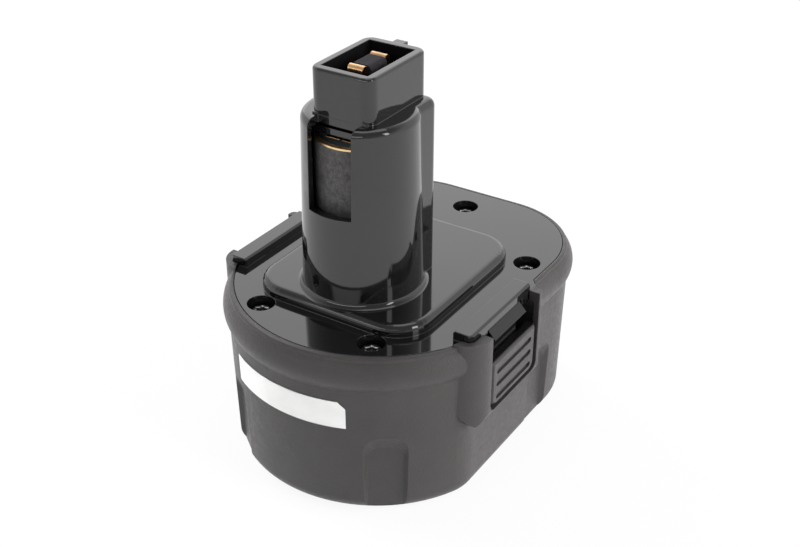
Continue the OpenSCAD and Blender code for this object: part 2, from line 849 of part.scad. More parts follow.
// Strip from the cell below up to the stem cell.
module stem_lead() {
    z0 = cell_z + cell_h + touch;
    z1 = stem_z - link_t - touch;
    color([0.75, 0.74, 0.7])
        place() {
            translate([-link_w / 2, riser_y, z0])
                cube([link_w, C[4][1] + cap_d / 4 - riser_y, link_t]);
            translate([-link_w / 2, riser_y, z0])
                cube([link_w, link_t, z1 - z0 + link_t]);
            translate([-link_w / 2, -riser_y, z1])
                cube([link_w, 2 * riser_y + link_t, link_t]);
        }
}

// Flat strip between two places in plan, lying at height z.
module strip(a, b, z) {
    translate([a[0], a[1], z])
        rotate([0, 0, atan2(b[1] - a[1], b[0] - a[0])])
            translate([-1, -lead_w / 2, 0])
                cube([norm(b - a) + 1, lead_w, link_t]);
}

// Strip from the last cell, up between the cells and up the back of the stem, to the negative contact.
module negative_lead() {
    z0 = cell_z - link_t - touch;
    z1 = lid_z + 0.6;
    z2 = block_z - block_t - 4 * link_t;
    b = [0, spine_y - stem_wall - 1.2];
    color([0.75, 0.74, 0.7])
        place() {
            strip(C[6], LEAD, z0);
            translate([LEAD[0] - lead_w / 2, LEAD[1] - link_t / 2, z0])
                cube([lead_w, link_t, z1 - z0 + link_t]);
            strip(LEAD, b, z1);
            translate([-lead_w / 2, b[1] - link_t / 2, z1])
                cube([lead_w, link_t, z2 - z1 + link_t]);
            translate([-lead_w / 2, contact_y(-1) + contact_d / 2 + 0.3, z2])
                cube([lead_w, b[1] - contact_y(-1) - contact_d / 2 - 0.3, link_t]);
        }
}

// Nickel link between two cells, lying at height z.
module link(pair, z) {
    a = C[pair[0]];
    b = C[pair[1]];
    l = norm(b - a);
    color([0.78, 0.77, 0.73])
        place()
            translate([a[0], a[1], z])
                rotate([0, 0, atan2(b[1] - a[1], b[0] - a[0])]) {
                    translate([0, -link_w / 2, 0])
                        cube([l, link_w, link_t]);
                    cylinder(d = link_w, h = link_t);
                    translate([l, 0, 0])
                        cylinder(d = link_w, h = link_t);
                }
}

module top_link(n) {
    link(TOP_LINKS[n - 1], cell_z + cell_h + touch);
}

module low_link(n) {
    link(LOW_LINKS[n - 1], cell_z - link_t - touch);
}

// Area that an insulating card can cover, clear of the latches and posts.
module card_area() {
    difference() {
        d_area(front_r - inner - 2.2, front_y, side_x + cell_d / 2, back_y - inner - 1.2, corner_r - 4);
        for (p = S)
            translate(p)
                circle(d = well_d + 3.4, $fn = 32);
    }
}

// Card over the base cells, open under the stem.
module top_card() {
    color([0.72, 0.66, 0.52])
        place()
            translate([0, 0, cell_z + cell_h + link_t + 2 * touch])
                linear_extrude(card_t - touch)
                    difference() {
                        card_area();
                        translate([-link_w / 2 - 1, riser_y - 1.5])
                            square([link_w + 2, C[4][1] + cap_d / 4 - riser_y + 3]);
                        translate(LEAD)
                            circle(d = lead_w + 1.4, $fn = 32);
                    }
}

// Card under the base cells.
module low_card() {
    color([0.72, 0.66, 0.52])
        place()
            translate([0, 0, floor_t + touch])
                linear_extrude(card_t - 3 * touch)
                    card_area();
}

// Thermal cut-out in the gap between three cells.
module thermal_cutout() {
    p = (C[4] + C[7] + C[5]) / 3;
    color([0.85, 0.82, 0.75])
        place()
            translate([p[0], p[1], 0]) {
                translate([0, 0, base_h * 0.6])
                    cylinder(d = cell_d * 0.14, h = 11);
                translate([0, 0, base_h * 0.6 - 4])
                    cylinder(d = 0.8, h = 5, $fn = 16);
                translate([0, 0, base_h * 0.6 + 10])
                    cylinder(d = 0.8, h = 4, $fn = 16);
            }
}

// Release button with its stop plate, catch and spring peg, drawn for the right side.
module button() {
    zt = base_h - button_top;
    tip = face_x - 1.2;
    web_z = spring_z + spring_d / 2 + wire_d + 1;
    gl = button_y1 - button_y0 - 4 - groove_h;
    difference() {
        union() {
            translate([plate_x, pocket_y0 + 0.5, pocket_z + 1.5])
                cube([plate_t, pocket_y1 - pocket_y0 - 1, zt - 0.8 - pocket_z - 1.5]);
            hull() {
                translate([plate_x + plate_t / 2, 0, 0])
                    rotate([90, 0, 90])
                        linear_extrude(face_x - 0.7 - plate_x - plate_t / 2)
                            button_outline(0, zt);
                translate([face_x - 0.1, 0, 0])
                    rotate([90, 0, 90])
                        linear_extrude(0.1)
                            button_outline(-0.6, zt - 0.6);
            }
            translate([0, catch_y1, 0])
                rotate([90, 0, 0])
                    linear_extrude(catch_y1 - catch_y0)
                        polygon([[arm_x, web_z], [plate_x + 0.5, web_z], [plate_x + 0.5, web_z + 1.6], [arm_x + 1.6, web_z + 1.6],
                            [arm_x + 1.6, base_h - 3.7], [tip - 0.5, base_h - 3.3], [tip, base_h - 2.7],
                            [tip - 2.1, base_h - catch_gap], [arm_x, base_h - catch_gap]]);
            translate([plate_x - 1.2, spring_y, spring_z])
                rotate([0, 90, 0])
                    cylinder(d = spring_d - wire_d - 0.6, h = 2);
        }
        for (k = [-1, 0, 1])
            translate([face_x - groove_d, button_y0 + 2 + groove_h / 2, (zt + base_h - button_low) / 2 + k * groove_pitch - 0.5]) {
                rotate([0, 90, 0])
                    cylinder(d = groove_h, h = 3);
                translate([0, 0, -groove_h / 2])
                    cube([3, gl, groove_h]);
                translate([0, gl, 0])
                    rotate([0, 90, 0])
                        cylinder(d = groove_h, h = 3);
            }
    }
}

module right_button() {
    color([0.2, 0.195, 0.19])
        place()
            button();
}

module left_button() {
    color([0.2, 0.195, 0.19])
        place()
            mirror([1, 0, 0])
                button();
}

// Middle of the wire at turn t of a coil wound round the X axis.
function coil_at(d, w, l, turns, t) = [w / 2 + t / turns * (l - w), d / 2 * cos(360 * t), d / 2 * sin(360 * t)];

// Least gap between the turns of a coil, measured on points along the wire.
function coil_gap(d, w, l, turns) = min([for (i = [0:0.125:turns], j = [i + 0.5:0.125:turns])
    norm(coil_at(d, w, l, turns, i) - coil_at(d, w, l, turns, j)) - w]);

// Wire wound round the X axis.
module coil(d, w, l, turns) {
    m = 14;
    k = 6;
    n = round(turns * m);
    pts = [for (i = [0:n], j = [0:k - 1])
        let (t = turns * i / n, c = coil_at(d, w, l, turns, t), b = 360 * j / k, q = 1 + w / d * cos(b))
            [c[0] + w / 2 * sin(b), c[1] * q, c[2] * q]];
    sides = [for (i = [0:n - 1], j = [0:k - 1], h = [0, 1])
        h == 0 ? [i * k + j, i * k + (j + 1) % k, (i + 1) * k + j]
               : [i * k + (j + 1) % k, (i + 1) * k + (j + 1) % k, (i + 1) * k + j]];
    ends = [[for (j = [0:k - 1]) k - 1 - j], [for (j = [0:k - 1]) n * k + j]];
    polyhedron(points = pts, faces = concat(sides, ends), convexity = 10);
}

echo(str("Least gap between the turns of a latch spring: ", coil_gap(spring_d, wire_d, spring_l - 2 * touch, spring_turns)));

// Return spring of the right button.
module right_spring() {
    color([0.7, 0.7, 0.72])
        place()
            translate([cup_x + touch, spring_y, spring_z])
                coil(spring_d, wire_d, spring_l - 2 * touch, spring_turns);
}

// Return spring of the left button.
module left_spring() {
    color([0.7, 0.7, 0.72])
        place()
            mirror([1, 0, 0])
                translate([cup_x + touch, spring_y, spring_z])
                    coil(spring_d, wire_d, spring_l - 2 * touch, spring_turns);
}

// Case screw with a six sided socket.
module screw(n) {
    color([0.1, 0.1, 0.1])
        place()
            translate([S[n - 1][0], S[n - 1][1], well_z + touch])
                difference() {
                    union() {
                        rotate_extrude($fn = 48)
                            polygon([[0, 0], [head_d / 2, 0], [head_d / 2, 1.2], [head_d / 2 - 0.7, 2], [0, 2.2]]);
                        translate([0, 0, 0.5 - shank_l])
                            cylinder(d = shank_d, h = shank_l);
                    }
                    translate([0, 0, 0.9])
                        cylinder(d = head_d * 0.5, h = 3, $fn = 6);
                }
}

// Blank label wrapped round the front of the wall.
module label() {
    z1 = base_h - label_drop;
    z0 = z1 - label_h;
    zr = base_h - bead_drop - bead_r - bottom_r;
    u0 = -draft * (1 - (z0 - bottom_r) / zr) + touch;
    u1 = -draft * (1 - (z1 - bottom_r) / zr) + touch;
    color([0.93, 0.93, 0.92])
        place()
            translate([0, front_y, 0])
                difference() {
                    rotate([0, 0, label_end - label_a])
                        rotate_extrude(angle = label_a, $fn = 128)
                            translate([front_r, 0])
                                polygon([[u0, z0], [u0 + 0.15, z0], [u1 + 0.15, z1], [u1, z1]]);
                    rotate([0, 0, label_end])
                        translate([front_r, 0, z1])
                            rotate([45, 0, 0])
                                cube([8, label_cut * sqrt(2), label_cut * sqrt(2)], center = true);
                }
}

lower_case();
top_cover();
terminal_block();
positive_contact();
negative_contact();
fibre_spacer();
stem_cell();
stem_sleeve();
stem_ring();
stem_tab();
stem_seat();
stem_lead();
negative_lead();
base_cell(1);  // base_cell_1
base_cell(2);  // base_cell_2
base_cell(3);  // base_cell_3
base_cell(4);  // base_cell_4
base_cell(5);  // base_cell_5
base_cell(6);  // base_cell_6
base_cell(7);  // base_cell_7
base_cell(8);  // base_cell_8
base_cell(9);  // base_cell_9
top_link(1);  // top_link_1
top_link(2);  // top_link_2
top_link(3);  // top_link_3
top_link(4);  // top_link_4
low_link(1);  // low_link_1
low_link(2);  // low_link_2
low_link(3);  // low_link_3
low_link(4);  // low_link_4
top_card();
low_card();
thermal_cutout();
right_button();
left_button();
right_spring();
left_spring();
screw(1);  // screw_1
screw(2);  // screw_2
screw(3);  // screw_3
screw(4);  // screw_4
screw(5);  // screw_5
label();
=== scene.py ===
"""Finishes, coils, screws, foam and studio for a stem battery pack."""

import math

import bmesh
import bpy
from bpy.props import FloatProperty, FloatVectorProperty, IntProperty, PointerProperty
from bpy.types import NodeSocket, Operator, Panel, PropertyGroup
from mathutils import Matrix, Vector


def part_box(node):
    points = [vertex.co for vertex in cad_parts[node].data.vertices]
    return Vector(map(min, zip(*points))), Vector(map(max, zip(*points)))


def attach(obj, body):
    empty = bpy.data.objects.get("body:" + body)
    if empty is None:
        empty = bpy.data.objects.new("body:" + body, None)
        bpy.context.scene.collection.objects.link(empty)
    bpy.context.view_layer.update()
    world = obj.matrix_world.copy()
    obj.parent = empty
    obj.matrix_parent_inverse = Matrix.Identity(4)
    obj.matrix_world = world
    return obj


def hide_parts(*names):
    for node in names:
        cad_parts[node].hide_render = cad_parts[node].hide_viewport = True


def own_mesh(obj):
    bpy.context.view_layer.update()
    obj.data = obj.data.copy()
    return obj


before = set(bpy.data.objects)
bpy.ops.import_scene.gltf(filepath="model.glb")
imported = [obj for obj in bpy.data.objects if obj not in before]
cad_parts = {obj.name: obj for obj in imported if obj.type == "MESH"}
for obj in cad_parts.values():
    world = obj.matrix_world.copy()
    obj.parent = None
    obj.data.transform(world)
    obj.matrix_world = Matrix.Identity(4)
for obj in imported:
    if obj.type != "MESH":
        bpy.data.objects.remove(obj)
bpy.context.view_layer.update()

bl_info = {
    "name": "Stem battery pack dressing",
    "version": (1, 0, 0),
    "blender": (4, 5, 0),
    "location": "View3D > Sidebar > Pack",
    "description": "Finishes, coils, screws, foam and studio for a stem battery pack",
    "category": "Object",
}

MM = 0.001

SIDES = ("right", "left")
SCREW_NUMBERS = range(1, 6)
BASE_CELLS = [f"base_cell_{n}" for n in range(1, 10)]
LINKS = [f"{level}_link_{n}" for level in ("top", "low") for n in range(1, 5)]

# Directions that fine lines run in, as the stretch of a noise along X, Y and Z.
ALONG_X = (8.0, 1.0, 1.0)
ALONG_Y = (1.0, 8.0, 1.0)
ALONG_Z = (1.0, 1.0, 8.0)
ALL_WAYS = (1.0, 1.0, 1.0)

# Sockets of a colour mix: factor, both colours, and the result.
MIX_FACTOR, MIX_FIRST, MIX_SECOND, MIX_RESULT = 0, 6, 7, 2

# Coil and screw meshes: points round a turn, a wire and a screw.
POINTS_PER_TURN = 28
POINTS_ROUND_WIRE = 10
POINTS_ROUND_SCREW = 72
POINTS_ROUND_FOAM = 72

# Screw, in metres: pointed tip, fillet under the head, and the crowned head.
TIP_RADIUS = 0.45 * MM
TIP_LENGTH = 0.9 * MM
NECK_FILLET = 0.15 * MM
NECK_DROP = 0.05 * MM
RIM_CHAMFER = 0.1 * MM
RIM_RISE = 1.0 * MM
CROWN_REACH = 0.85 * MM
CROWN_RISE = 1.1 * MM
CROWN_ANGLES = (20, 40, 60, 80)
# Rings of the recess: share of its radius, and depth under the top of the head.
RECESS_RINGS = (
    (1.14, 0.02 * MM),
    (1.08, 0.05 * MM),
    (0.98, 0.20 * MM),
    (0.95, 0.40 * MM),
    (0.93, 1.25 * MM),
)
# First and last ring of the recess that the driver has rubbed bright.
WORN_FIRST, WORN_LAST = 1, 2
LOBES = 6
LOBE_SHARE = 0.14

# Foam seat: rings from floor to top as shares of its height and of its radius.
FOAM_RINGS = (
    (0.0, 0.86),
    (0.02, 0.94),
    (0.10, 0.985),
    (0.30, 0.972),
    (0.5, 0.965),
    (0.70, 0.972),
    (0.90, 0.985),
    (0.98, 0.94),
    (1.0, 0.86),
)
LEAD_SIDE_GAP = 0.35 * MM
LEAD_FRONT_GAP = 0.6 * MM
NOTCH_SIDE_STEPS = 6
NOTCH_FLOOR_STEPS = 8

# Studio: floor, the dim opening in the white tent, and the lamps.
FLOOR_HALF_SIDE = 3.0
FLOOR_DROP = 0.2 * MM
FLOOR_GLOW = 0.90
WHITE = (1, 1, 1, 1)
OPENING_TOWARDS = (0.286, -0.445, 0.848)
OPENING_STARTS, OPENING_FULL = 0.30, 0.70
OPENING_STRENGTH = 0.32
LAMP_AIM = (0, 0, 0.045)
# Name, place, width, height, power in watts, and whether gloss mirrors it.
LAMPS = (
    ("back_panel", (-0.62, 0.96, 0.66), 1.5, 1.1, 3.6, True),
    ("left_panel", (-0.98, 0.05, 0.40), 0.9, 0.8, 18.0, False),
    ("right_panel", (1.0, 0.30, 0.40), 0.9, 0.8, 18.0, False),
    ("top_panel", (0.05, 0.10, 0.95), 0.5, 0.5, 1.0, True),
    ("front_strip", (0.02, -0.92, 0.52), 1.3, 0.12, 1.7, True),
    ("right_strip", (0.86, -0.10, 0.50), 0.14, 0.40, 1.0, True),
)
SENSOR_MM = 36.0
CLIP_NEAR, CLIP_FAR = 0.01, 20.0


def colour_prop(name, text, value):
    """A colour that a user may change."""
    return FloatVectorProperty(
        name=name, description=text, subtype="COLOR", size=3, min=0, max=1, default=value
    )


def length_prop(name, text, value):
    """A length in metres that a user may change."""
    return FloatProperty(
        name=name,
        description=text,
        default=value,
        min=0,
        precision=5,
        subtype="DISTANCE",
        unit="LENGTH",
    )


class PackFinish(PropertyGroup):
    """Colours of the pack."""

    tub: colour_prop("Tub", "Matte plastic of the tub and buttons", (0.0385, 0.0348, 0.0347))
    cover: colour_prop("Cover", "Polished plastic of the lid and stem", (0.006, 0.006, 0.0065))
    copper: colour_prop("Copper", "Contacts and tab", (0.80, 0.50, 0.26))
    spacer: colour_prop("Spacer", "Fibre between the contacts", (0.016, 0.0145, 0.0175))
    ring: colour_prop("Ring", "Bright ring over the stem cell", (0.90, 0.66, 0.36))
    sleeve: colour_prop("Sleeve", "Paper sleeve round the stem cell", (0.075, 0.071, 0.071))
    label: colour_prop("Label", "Blank paper label", (0.86, 0.86, 0.85))
    wrap: colour_prop("Cell wrap", "Shrink wrap of the cells", (0.16, 0.22, 0.25))
    card: colour_prop("Card", "Insulating cards", (0.62, 0.50, 0.33))
    nickel: colour_prop("Nickel", "Links and leads", (0.66, 0.64, 0.60))
    ceramic: colour_prop("Ceramic", "Thermal cut-out", (0.80, 0.76, 0.68))
    spring: colour_prop("Spring", "Wire of the latch springs", (0.60, 0.60, 0.62))
    screw: colour_prop("Screw", "Dark oxide on the screws", (0.10, 0.10, 0.105))
    worn: colour_prop("Worn screw", "Bright metal in the recess", (0.66, 0.66, 0.68))
    foam: colour_prop("Foam", "Seat under the stem cell", (0.30, 0.28, 0.25))


class PackSizes(PropertyGroup):
    """Sizes of the pieces and finishes made here."""

    edge: length_prop("Edge rounding", "Radius that moulded edges are softened by", 0.30 * MM)
    metal_edge: length_prop("Strip edge", "Radius that strip edges are softened by", 0.10 * MM)
    can_edge: length_prop("Can edge", "Radius that cell edges are softened by", 0.20 * MM)
    grain: length_prop("Grain", "Size of the moulded grain on the tub", 0.42 * MM)
    catch_rise: length_prop(
        "Catch rise", "Height of the smooth catch above the grip of a button", 7.75 * MM
    )
    wire: length_prop("Spring wire", "Diameter of the latch spring wire", 0.45 * MM)
    turns: IntProperty(
        name="Spring turns", description="Turns of a latch spring", default=5, min=3, max=8
    )
    recess: length_prop("Screw recess", "Mean radius of the six lobed recess", 1.45 * MM)
    head: length_prop("Screw head", "Height of a screw's head", 2.2 * MM)
    shank: length_prop("Screw shank", "Radius of a screw's shank", 1.45 * MM)


class PackStage(PropertyGroup):
    """Camera, floor and ambient light."""

    camera_place: FloatVectorProperty(
        name="Camera place",
        description="Where the camera stands",
        subtype="XYZ",
        unit="LENGTH",
        default=(0.1570, -0.2420, 0.2135),
    )
    azimuth: FloatProperty(
        name="Azimuth",
        description="Camera angle round the pack",
        subtype="ANGLE",
        default=math.radians(32.81),
    )
    elevation: FloatProperty(
        name="Elevation",
        description="Camera angle above the floor",
        subtype="ANGLE",
        default=math.radians(30.54),
    )
    lens: FloatProperty(
        name="Lens",
        description="Focal length in millimetres on a 36 mm sensor",
        default=55.96,
        min=10,
    )
    floor: colour_prop("Floor", "Colour of the floor", (0.90, 0.90, 0.90))
    ambient: FloatProperty(
        name="Ambient", description="Strength of the world for diffuse light", default=0.28, min=0
    )


def feed(tree, node, inputs):
    """Fills a node's inputs: a socket is linked, anything else is set as a value."""
    for key, value in inputs.items():
        if isinstance(value, NodeSocket):
            tree.links.new(value, node.inputs[key])
        else:
            node.inputs[key].default_value = value


def add_node(tree, kind, inputs=None, **settings):
    """Adds a node with its settings and inputs."""
    made = tree.nodes.new(kind)
    for key, value in settings.items():
        setattr(made, key, value)
    feed(tree, made, inputs or {})
    return made


def rgba(colour, gain=1.0):
    """A colour with its fourth number, made lighter or darker by gain."""
    return tuple(min(1.0, channel * gain) for channel in colour) + (1.0,)


def new_finish(name):
    """A new material, its tree and its principled shader."""
    material = bpy.data.materials.new(name)
    material.use_nodes = True
    tree = material.node_tree
    tree.nodes.clear()
    shader = add_node(tree, "ShaderNodeBsdfPrincipled")
    add_node(tree, "ShaderNodeOutputMaterial", {"Surface": shader.outputs["BSDF"]})
    return material, tree, shader


def place_on(tree, stretch=ALL_WAYS):
    """Coordinates of the piece itself, stretched."""
    where = add_node(tree, "ShaderNodeTexCoord").outputs["Object"]
    inputs = {"Vector": where, "Scale": stretch}
    return add_node(tree, "ShaderNodeMapping", inputs).outputs["Vector"]


def noise(tree, where, size, detail=2.0, rough=0.5):
    """Noise with features of about the given size in metres."""
    inputs = {"Vector": where, "Scale": 1.0 / size, "Detail": detail, "Roughness": rough}
    return add_node(tree, "ShaderNodeTexNoise", inputs).outputs["Fac"]


def spread(tree, source, low, high, start=0.3, stop=0.7):
    """Maps a value between start and stop to low and high."""
    inputs = {"Value": source, "From Min": start, "From Max": stop, "To Min": low, "To Max": high}
    return add_node(tree, "ShaderNodeMapRange", inputs).outputs["Result"]


def combine(tree, operation, first, second):
    """Result of a sum on two values, each a socket or a number."""
    return add_node(
        tree, "ShaderNodeMath", {0: first, 1: second}, operation=operation
    ).outputs["Value"]


def dot(tree, first, second):
    """Dot product of two directions, each a socket or three numbers."""
    return add_node(
        tree, "ShaderNodeVectorMath", {0: first, 1: second}, operation="DOT_PRODUCT"
    ).outputs["Value"]


def two_tone(tree, source, first, second):
    """A colour between two colours or colour sockets, chosen by a value."""
    inputs = {MIX_FACTOR: source, MIX_FIRST: first, MIX_SECOND: second}
    mixed = add_node(tree, "ShaderNodeMix", inputs, data_type="RGBA", clamp_factor=True)
    return mixed.outputs[MIX_RESULT]


def mottle(tree, source, colour, darkest, lightest):
    """One colour in patches between two gains, chosen by a noise."""
    patches = spread(tree, source, low=0.0, high=1.0)
    return two_tone(tree, patches, rgba(colour, darkest), rgba(colour, lightest))


def raise_by(tree, height, depth, strength, normal=None):
    """Bump of the given depth in metres, on a normal where one is given."""
    inputs = {"Height": height, "Strength": strength, "Distance": depth}
    if normal is not None:
        inputs["Normal"] = normal
    return add_node(tree, "ShaderNodeBump", inputs).outputs["Normal"]


def soft_edge(tree, radius):
    """Normal with edges softened by radius."""
    return add_node(tree, "ShaderNodeBevel", {"Radius": radius}, samples=8).outputs["Normal"]


def edge_mask(tree, radius):
    """Value near 1 along the edges and 0 on open faces."""
    plain = add_node(tree, "ShaderNodeNewGeometry").outputs["Normal"]
    likeness = dot(tree, soft_edge(tree, radius), plain)
    return spread(tree, likeness, low=1.0, high=0.0, start=0.86, stop=0.995)


def above(tree, height, blur=0.1 * MM):
    """Value 1 above a height of the piece and 0 below it."""
    where = add_node(tree, "ShaderNodeTexCoord").outputs["Object"]
    up = add_node(tree, "ShaderNodeSeparateXYZ", {"Vector": where}).outputs["Z"]
    return spread(tree, up, low=0.0, high=1.0, start=height - blur, stop=height + blur)


def moulded_grain(name, colour, grain, edge, smooth_from=None):
    """Matte plastic from a textured mould: fine pebbles, uneven sheen, edges rubbed pale.

    Above the height smooth_from, where one is given, it is smooth and dark.
    """
    material, tree, shader = new_finish(name)
    where = place_on(tree)
    pebbles = noise(tree, where, grain, detail=3.0, rough=0.6)
    clouds = noise(tree, where, 14 * MM, detail=4.0)
    tone = mottle(tree, clouds, colour, darkest=0.90, lightest=1.12)
    tone = two_tone(tree, edge_mask(tree, 2.0 * edge), tone, rgba(colour, 1.35))
    sheen = spread(tree, noise(tree, where, 1.3 * MM, detail=3.0), low=0.31, high=0.44)
    if smooth_from is not None:
        plain = above(tree, smooth_from)
        tone = two_tone(tree, plain, tone, rgba(colour, 0.20))
        less_rough = spread(tree, plain, low=1.0, high=0.45, start=0.0, stop=1.0)
        sheen = combine(tree, "MULTIPLY", sheen, less_rough)
        less_grain = spread(tree, plain, low=1.0, high=0.1, start=0.0, stop=1.0)
        pebbles = combine(tree, "MULTIPLY", pebbles, less_grain)
    relief = raise_by(
        tree, pebbles, depth=0.16 * MM, strength=0.90, normal=soft_edge(tree, edge)
    )
    feed(tree, shader, {"Base Color": tone, "Roughness": sheen, "Normal": relief, "IOR": 1.49})
    return material


def polished_black(name, colour, edge):
    """Polished black plastic: mirror gloss with the faint waves and dust of a moulding."""
    material, tree, shader = new_finish(name)
    where = place_on(tree)
    waves = noise(tree, where, 9 * MM, detail=1.0)
    dust = noise(tree, where, 0.9 * MM, detail=4.0, rough=0.65)
    clouds = noise(tree, where, 22 * MM, detail=3.0)
    smear = spread(tree, clouds, low=0.045, high=0.085)
    specks = spread(tree, dust, low=0.0, high=0.10, start=0.62, stop=0.85)
    relief = raise_by(tree, waves, depth=0.05 * MM, strength=0.10, normal=soft_edge(tree, edge))
    feed(
        tree,
        shader,
        {
            "Base Color": mottle(tree, clouds, colour, darkest=0.85, lightest=1.25),
            "Roughness": combine(tree, "ADD", smear, specks),
            "Normal": relief,
            "IOR": 1.6,
            "Specular IOR Level": 0.6,
        },
    )
    return material


def rolled_metal(name, colour, along, smoothest, roughest, edge):
    """Rolled strip or wire: fine lines along one axis and dull patches."""
    material, tree, shader = new_finish(name)
    lines = noise(tree, place_on(tree, along), 0.25 * MM, detail=3.0)
    patches = noise(tree, place_on(tree), 2.2 * MM, detail=3.0)
    relief = raise_by(tree, lines, depth=0.02 * MM, strength=0.25, normal=soft_edge(tree, edge))
    feed(
        tree,
        shader,
        {
            "Base Color": mottle(tree, patches, colour, darkest=0.78, lightest=1.10),
            "Roughness": spread(tree, lines, low=smoothest, high=roughest),
            "Normal": relief,
            "Metallic": 1.0,
        },
    )
    return material


def pressed_fibre(name, colour, size, depth, darkest, lightest):
    """Pressed fibre or card: crossed fibres, mottled colour, no gloss."""
    material, tree, shader = new_finish(name)
    flat = noise(tree, place_on(tree, (1.0, 1.0, 0.22)), size, detail=4.0, rough=0.7)
    upright = noise(tree, place_on(tree, (0.3, 0.3, 1.6)), size, detail=4.0, rough=0.7)
    crossed = combine(tree, "MULTIPLY", flat, upright)
    fibres = spread(tree, crossed, low=0.0, high=1.0, start=0.12, stop=0.42)
    feed(
        tree,
        shader,
        {
            "Base Color": two_tone(tree, fibres, rgba(colour, darkest), rgba(colour, lightest)),
            "Roughness": spread(tree, fibres, low=0.72, high=0.92, start=0.0, stop=1.0),
            "Normal": raise_by(tree, fibres, depth=depth, strength=0.6),
            "Specular IOR Level": 0.3,
        },
    )
    return material


def wound_paper(name, colour):
    """Wound paper sleeve: mottled tone, short upright fibres and pale flecks."""
    material, tree, shader = new_finish(name)
    where = place_on(tree)
    clouds = noise(tree, where, 1.6 * MM, detail=5.0, rough=0.65)
    fibres = noise(tree, place_on(tree, (1.0, 1.0, 0.30)), 0.22 * MM, detail=3.0, rough=0.6)
    flecks = noise(tree, where, 0.30 * MM, detail=2.0)
    tone = two_tone(
        tree,
        spread(tree, clouds, low=0.0, high=1.0, start=0.35, stop=0.66),
        rgba(colour, 0.62),
        rgba(colour, 1.35),
    )
    pale = spread(tree, fibres, low=0.0, high=0.55, start=0.52, stop=0.74)
    tone = two_tone(tree, pale, tone, rgba(colour, 2.3))
    palest = spread(tree, flecks, low=0.0, high=0.6, start=0.66, stop=0.80)
    feed(
        tree,
        shader,
        {
            "Base Color": two_tone(tree, palest, tone, rgba(colour, 3.2)),
            "Roughness": spread(tree, fibres, low=0.78, high=0.58),
            "Normal": raise_by(tree, fibres, depth=0.05 * MM, strength=0.5),
            "Specular IOR Level": 0.4,
        },
    )
    return material


def shrink_wrap(name, colour, edge):
    """Shrink wrap on a cell: satin film with fine draw lines round the can."""
    material, tree, shader = new_finish(name)
    lines = noise(tree, place_on(tree, (0.15, 0.15, 1.0)), 0.5 * MM, detail=2.0)
    clouds = noise(tree, place_on(tree), 6 * MM, detail=3.0)
    relief = raise_by(tree, lines, depth=0.03 * MM, strength=0.3, normal=soft_edge(tree, edge))
    feed(
        tree,
        shader,
        {
            "Base Color": mottle(tree, clouds, colour, darkest=0.86, lightest=1.12),
            "Roughness": spread(tree, lines, low=0.28, high=0.44),
            "Normal": relief,
        },
    )
    return material


def coated_paper(name, colour):
    """Coated white paper: faint fibres and a low sheen."""
    material, tree, shader = new_finish(name)
    where = place_on(tree)
    fibres = noise(tree, where, 0.30 * MM, detail=4.0, rough=0.7)
    clouds = noise(tree, where, 5 * MM, detail=3.0)
    feed(
        tree,
        shader,
        {
            "Base Color": mottle(tree, clouds, colour, darkest=0.955, lightest=1.02),
            "Roughness": spread(tree, fibres, low=0.38, high=0.55),
            "Normal": raise_by(tree, fibres, depth=0.015 * MM, strength=0.25),
        },
    )
    return material


def blackened_steel(name, colour, bright, edge):
    """Steel with a dark oxide and turned lines, bright where the mesh says it is worn."""
    material, tree, shader = new_finish(name)
    where = place_on(tree)
    lines = noise(tree, place_on(tree, (1.0, 1.0, 6.0)), 0.35 * MM, detail=3.0)
    wear = add_node(tree, "ShaderNodeAttribute", attribute_name="wear").outputs["Fac"]
    rubs = noise(tree, where, 0.5 * MM, detail=3.0)
    patch = spread(tree, rubs, low=0.55, high=1.0, start=0.35, stop=0.6)
    worn = combine(tree, "MULTIPLY", wear, patch)
    tone = mottle(tree, noise(tree, where, 1.1 * MM), colour, darkest=0.8, lightest=1.2)
    relief = raise_by(tree, lines, depth=0.02 * MM, strength=0.3, normal=soft_edge(tree, edge))
    feed(
        tree,
        shader,
        {
            "Base Color": two_tone(tree, worn, tone, rgba(bright)),
            "Roughness": spread(tree, lines, low=0.24, high=0.40),
            "Normal": relief,
            "Metallic": 1.0,
        },
    )
    return material


def open_foam(name, colour):
    """Open foam: pores cut into a soft matte face, with painted shade darkening the pore floors.
    """
    material, tree, shader = new_finish(name)
    cells = {"Vector": place_on(tree), "Scale": 1.0 / (0.7 * MM)}
    pores = add_node(tree, "ShaderNodeTexVoronoi", cells).outputs["Distance"]
    # The pore depth also paints shade: the colour darkens towards the floor of each pore, where
    # the bump sinks it.
    depth = spread(tree, pores, low=0.0, high=1.0, start=0.05, stop=0.55)
    feed(
        tree,
        shader,
        {
            "Base Color": two_tone(tree, depth, rgba(colour, 0.55), rgba(colour, 1.1)),
            "Normal": raise_by(tree, depth, depth=0.2 * MM, strength=0.9),
            "Roughness": 0.95,
        },
    )
    return material


def glazed_ceramic(name, colour, edge):
    """Satin ceramic bulb with faint specks."""
    material, tree, shader = new_finish(name)
    specks = noise(tree, place_on(tree), 0.6 * MM, detail=4.0, rough=0.7)
    dark = spread(tree, specks, low=0.0, high=1.0, start=0.55, stop=0.75)
    relief = raise_by(tree, specks, depth=0.02 * MM, strength=0.2, normal=soft_edge(tree, edge))
    feed(
        tree,
        shader,
        {
            "Base Color": two_tone(tree, dark, rgba(colour), rgba(colour, 0.7)),
            "Roughness": spread(tree, specks, low=0.30, high=0.45),
            "Normal": relief,
        },
    )
    return material


def dress(nodes, material):
    """Puts a finish on CAD nodes, and stops the step where one is missing."""
    for name in nodes:
        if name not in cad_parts:
            raise RuntimeError(f"The frame has no node {name}")
        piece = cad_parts[name]
        piece.data.materials.clear()
        piece.data.materials.append(material)


